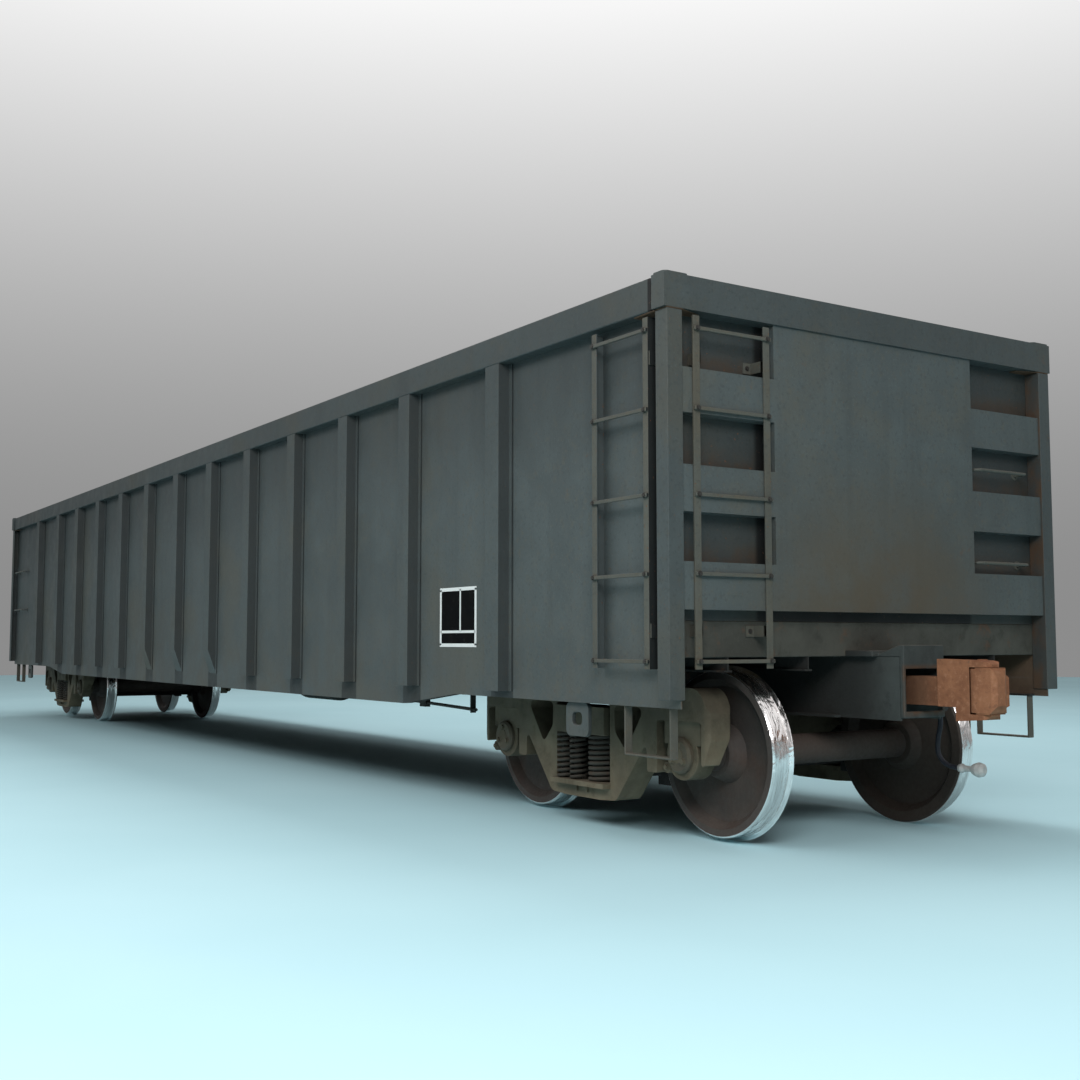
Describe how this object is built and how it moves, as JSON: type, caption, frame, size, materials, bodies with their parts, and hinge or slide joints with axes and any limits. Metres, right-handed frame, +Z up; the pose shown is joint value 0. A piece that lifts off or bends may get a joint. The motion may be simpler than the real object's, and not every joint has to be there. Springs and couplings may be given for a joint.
{
  "type": "gondola car",
  "caption": "Open-topped steel mill gondola car with hat-section side posts, ribbed ends and two roller-bearing trucks",
  "frame": {"origin": "on the ground under the middle of the car, where the wheel flanges stand", "axes": "+X along the car to the end without the hand brake, +Z up, +Y to the left seen along +X"},
  "size_m": [18.048, 3.188, 3.062],
  "materials": {
    "body_paint": "dusty satin paint",
    "end_paint": "dirty satin paint",
    "floor_steel": "rusted bare steel",
    "underframe": "matt grimy paint",
    "truck_casting": "matt dusty casting",
    "wheel_steel": "bright rolled tread, rusty plate",
    "spring_steel": "matt grimy steel",
    "coupler_casting": "bare rusty casting",
    "pipe_steel": "matt grimy paint",
    "hose_rubber": "matt rubber",
    "fitting": "dull cast metal",
    "ladder_steel": "worn satin paint"
  },
  "bodies": {
    "carbody": {"floor_sheet": "floor_steel", "side_sheets": "body_paint", "side_posts": "body_paint", "side_top_chords": "body_paint", "side_sills": "underframe", "end_sheets": "end_paint", "end_panels": "end_paint", "end_ribs": "end_paint", "end_top_chords": "body_paint", "end_sills": "end_paint", "corner_posts": "body_paint", "corner_gussets": "end_paint", "cross_beams": "underframe", "body_bolsters": "underframe", "stringers": "underframe", "centre_sill": "underframe", "strikers": "underframe", "draft_pins": "underframe", "ladder_stiles": "ladder_steel", "ladder_rungs": "ladder_steel", "grab_irons": "ladder_steel", "sill_steps": "ladder_steel", "lifting_lugs": "truck_casting", "brake_pipe": "pipe_steel", "brake_rods": "pipe_steel", "control_valve": "pipe_steel", "air_reservoir": "pipe_steel", "brake_cylinder": "pipe_steel", "hand_brake": "pipe_steel", "angle_cocks": "fitting", "air_hose": "hose_rubber", "glad_hand": "fitting"},
    "coupler_a_body": {"coupler_a": "coupler_casting"},
    "knuckle_a_body": {"knuckle_a": "coupler_casting"},
    "coupler_b_body": {"coupler_b": "coupler_casting"},
    "knuckle_b_body": {"knuckle_b": "coupler_casting"},
    "truck_a": {"side_frames_a": "truck_casting", "bearings_a": "truck_casting", "truck_bolster_a": "truck_casting", "truck_springs_a": "spring_steel", "brake_beams_a": "truck_casting"},
    "wheelset_a1_body": {"wheelset_a1": "wheel_steel"},
    "wheelset_a2_body": {"wheelset_a2": "wheel_steel"},
    "truck_b": {"side_frames_b": "truck_casting", "bearings_b": "truck_casting", "truck_bolster_b": "truck_casting", "truck_springs_b": "spring_steel", "brake_beams_b": "truck_casting"},
    "wheelset_b1_body": {"wheelset_b1": "wheel_steel"},
    "wheelset_b2_body": {"wheelset_b2": "wheel_steel"}
  },
  "joints": [
    {"name": "coupler_a_swing", "type": "hinge", "parent": "carbody", "child": "coupler_a_body", "pos_m": [7.9, 0, 0.877], "axis": [0, 0, 1], "range_deg": [-7, 7]},
    {"name": "knuckle_a_turn", "type": "hinge", "parent": "coupler_a_body", "child": "knuckle_a_body", "pos_m": [8.9, -0.05, 0.877], "axis": [0, 0, 1], "range_deg": [-40, 0]},
    {"name": "coupler_b_swing", "type": "hinge", "parent": "carbody", "child": "coupler_b_body", "pos_m": [-7.9, 0, 0.877], "axis": [0, 0, 1], "range_deg": [-7, 7]},
    {"name": "knuckle_b_turn", "type": "hinge", "parent": "coupler_b_body", "child": "knuckle_b_body", "pos_m": [-8.9, 0.05, 0.877], "axis": [0, 0, 1], "range_deg": [-40, 0]},
    {"name": "truck_a_swivel", "type": "hinge", "parent": "carbody", "child": "truck_a", "pos_m": [6.725, 0, 0.672], "axis": [0, 0, 1], "range_deg": [-7, 7]},
    {"name": "wheelset_a1_turn", "type": "hinge", "parent": "truck_a", "child": "wheelset_a1_body", "pos_m": [7.66, 0, 0.498], "axis": [0, 1, 0], "continuous": true},
    {"name": "wheelset_a2_turn", "type": "hinge", "parent": "truck_a", "child": "wheelset_a2_body", "pos_m": [5.79, 0, 0.498], "axis": [0, 1, 0], "continuous": true},
    {"name": "truck_b_swivel", "type": "hinge", "parent": "carbody", "child": "truck_b", "pos_m": [-6.725, 0, 0.672], "axis": [0, 0, 1], "range_deg": [-7, 7]},
    {"name": "wheelset_b1_turn", "type": "hinge", "parent": "truck_b", "child": "wheelset_b1_body", "pos_m": [-5.79, 0, 0.498], "axis": [0, 1, 0], "continuous": true},
    {"name": "wheelset_b2_turn", "type": "hinge", "parent": "truck_b", "child": "wheelset_b2_body", "pos_m": [-7.66, 0, 0.498], "axis": [0, 1, 0], "continuous": true}
  ]
}
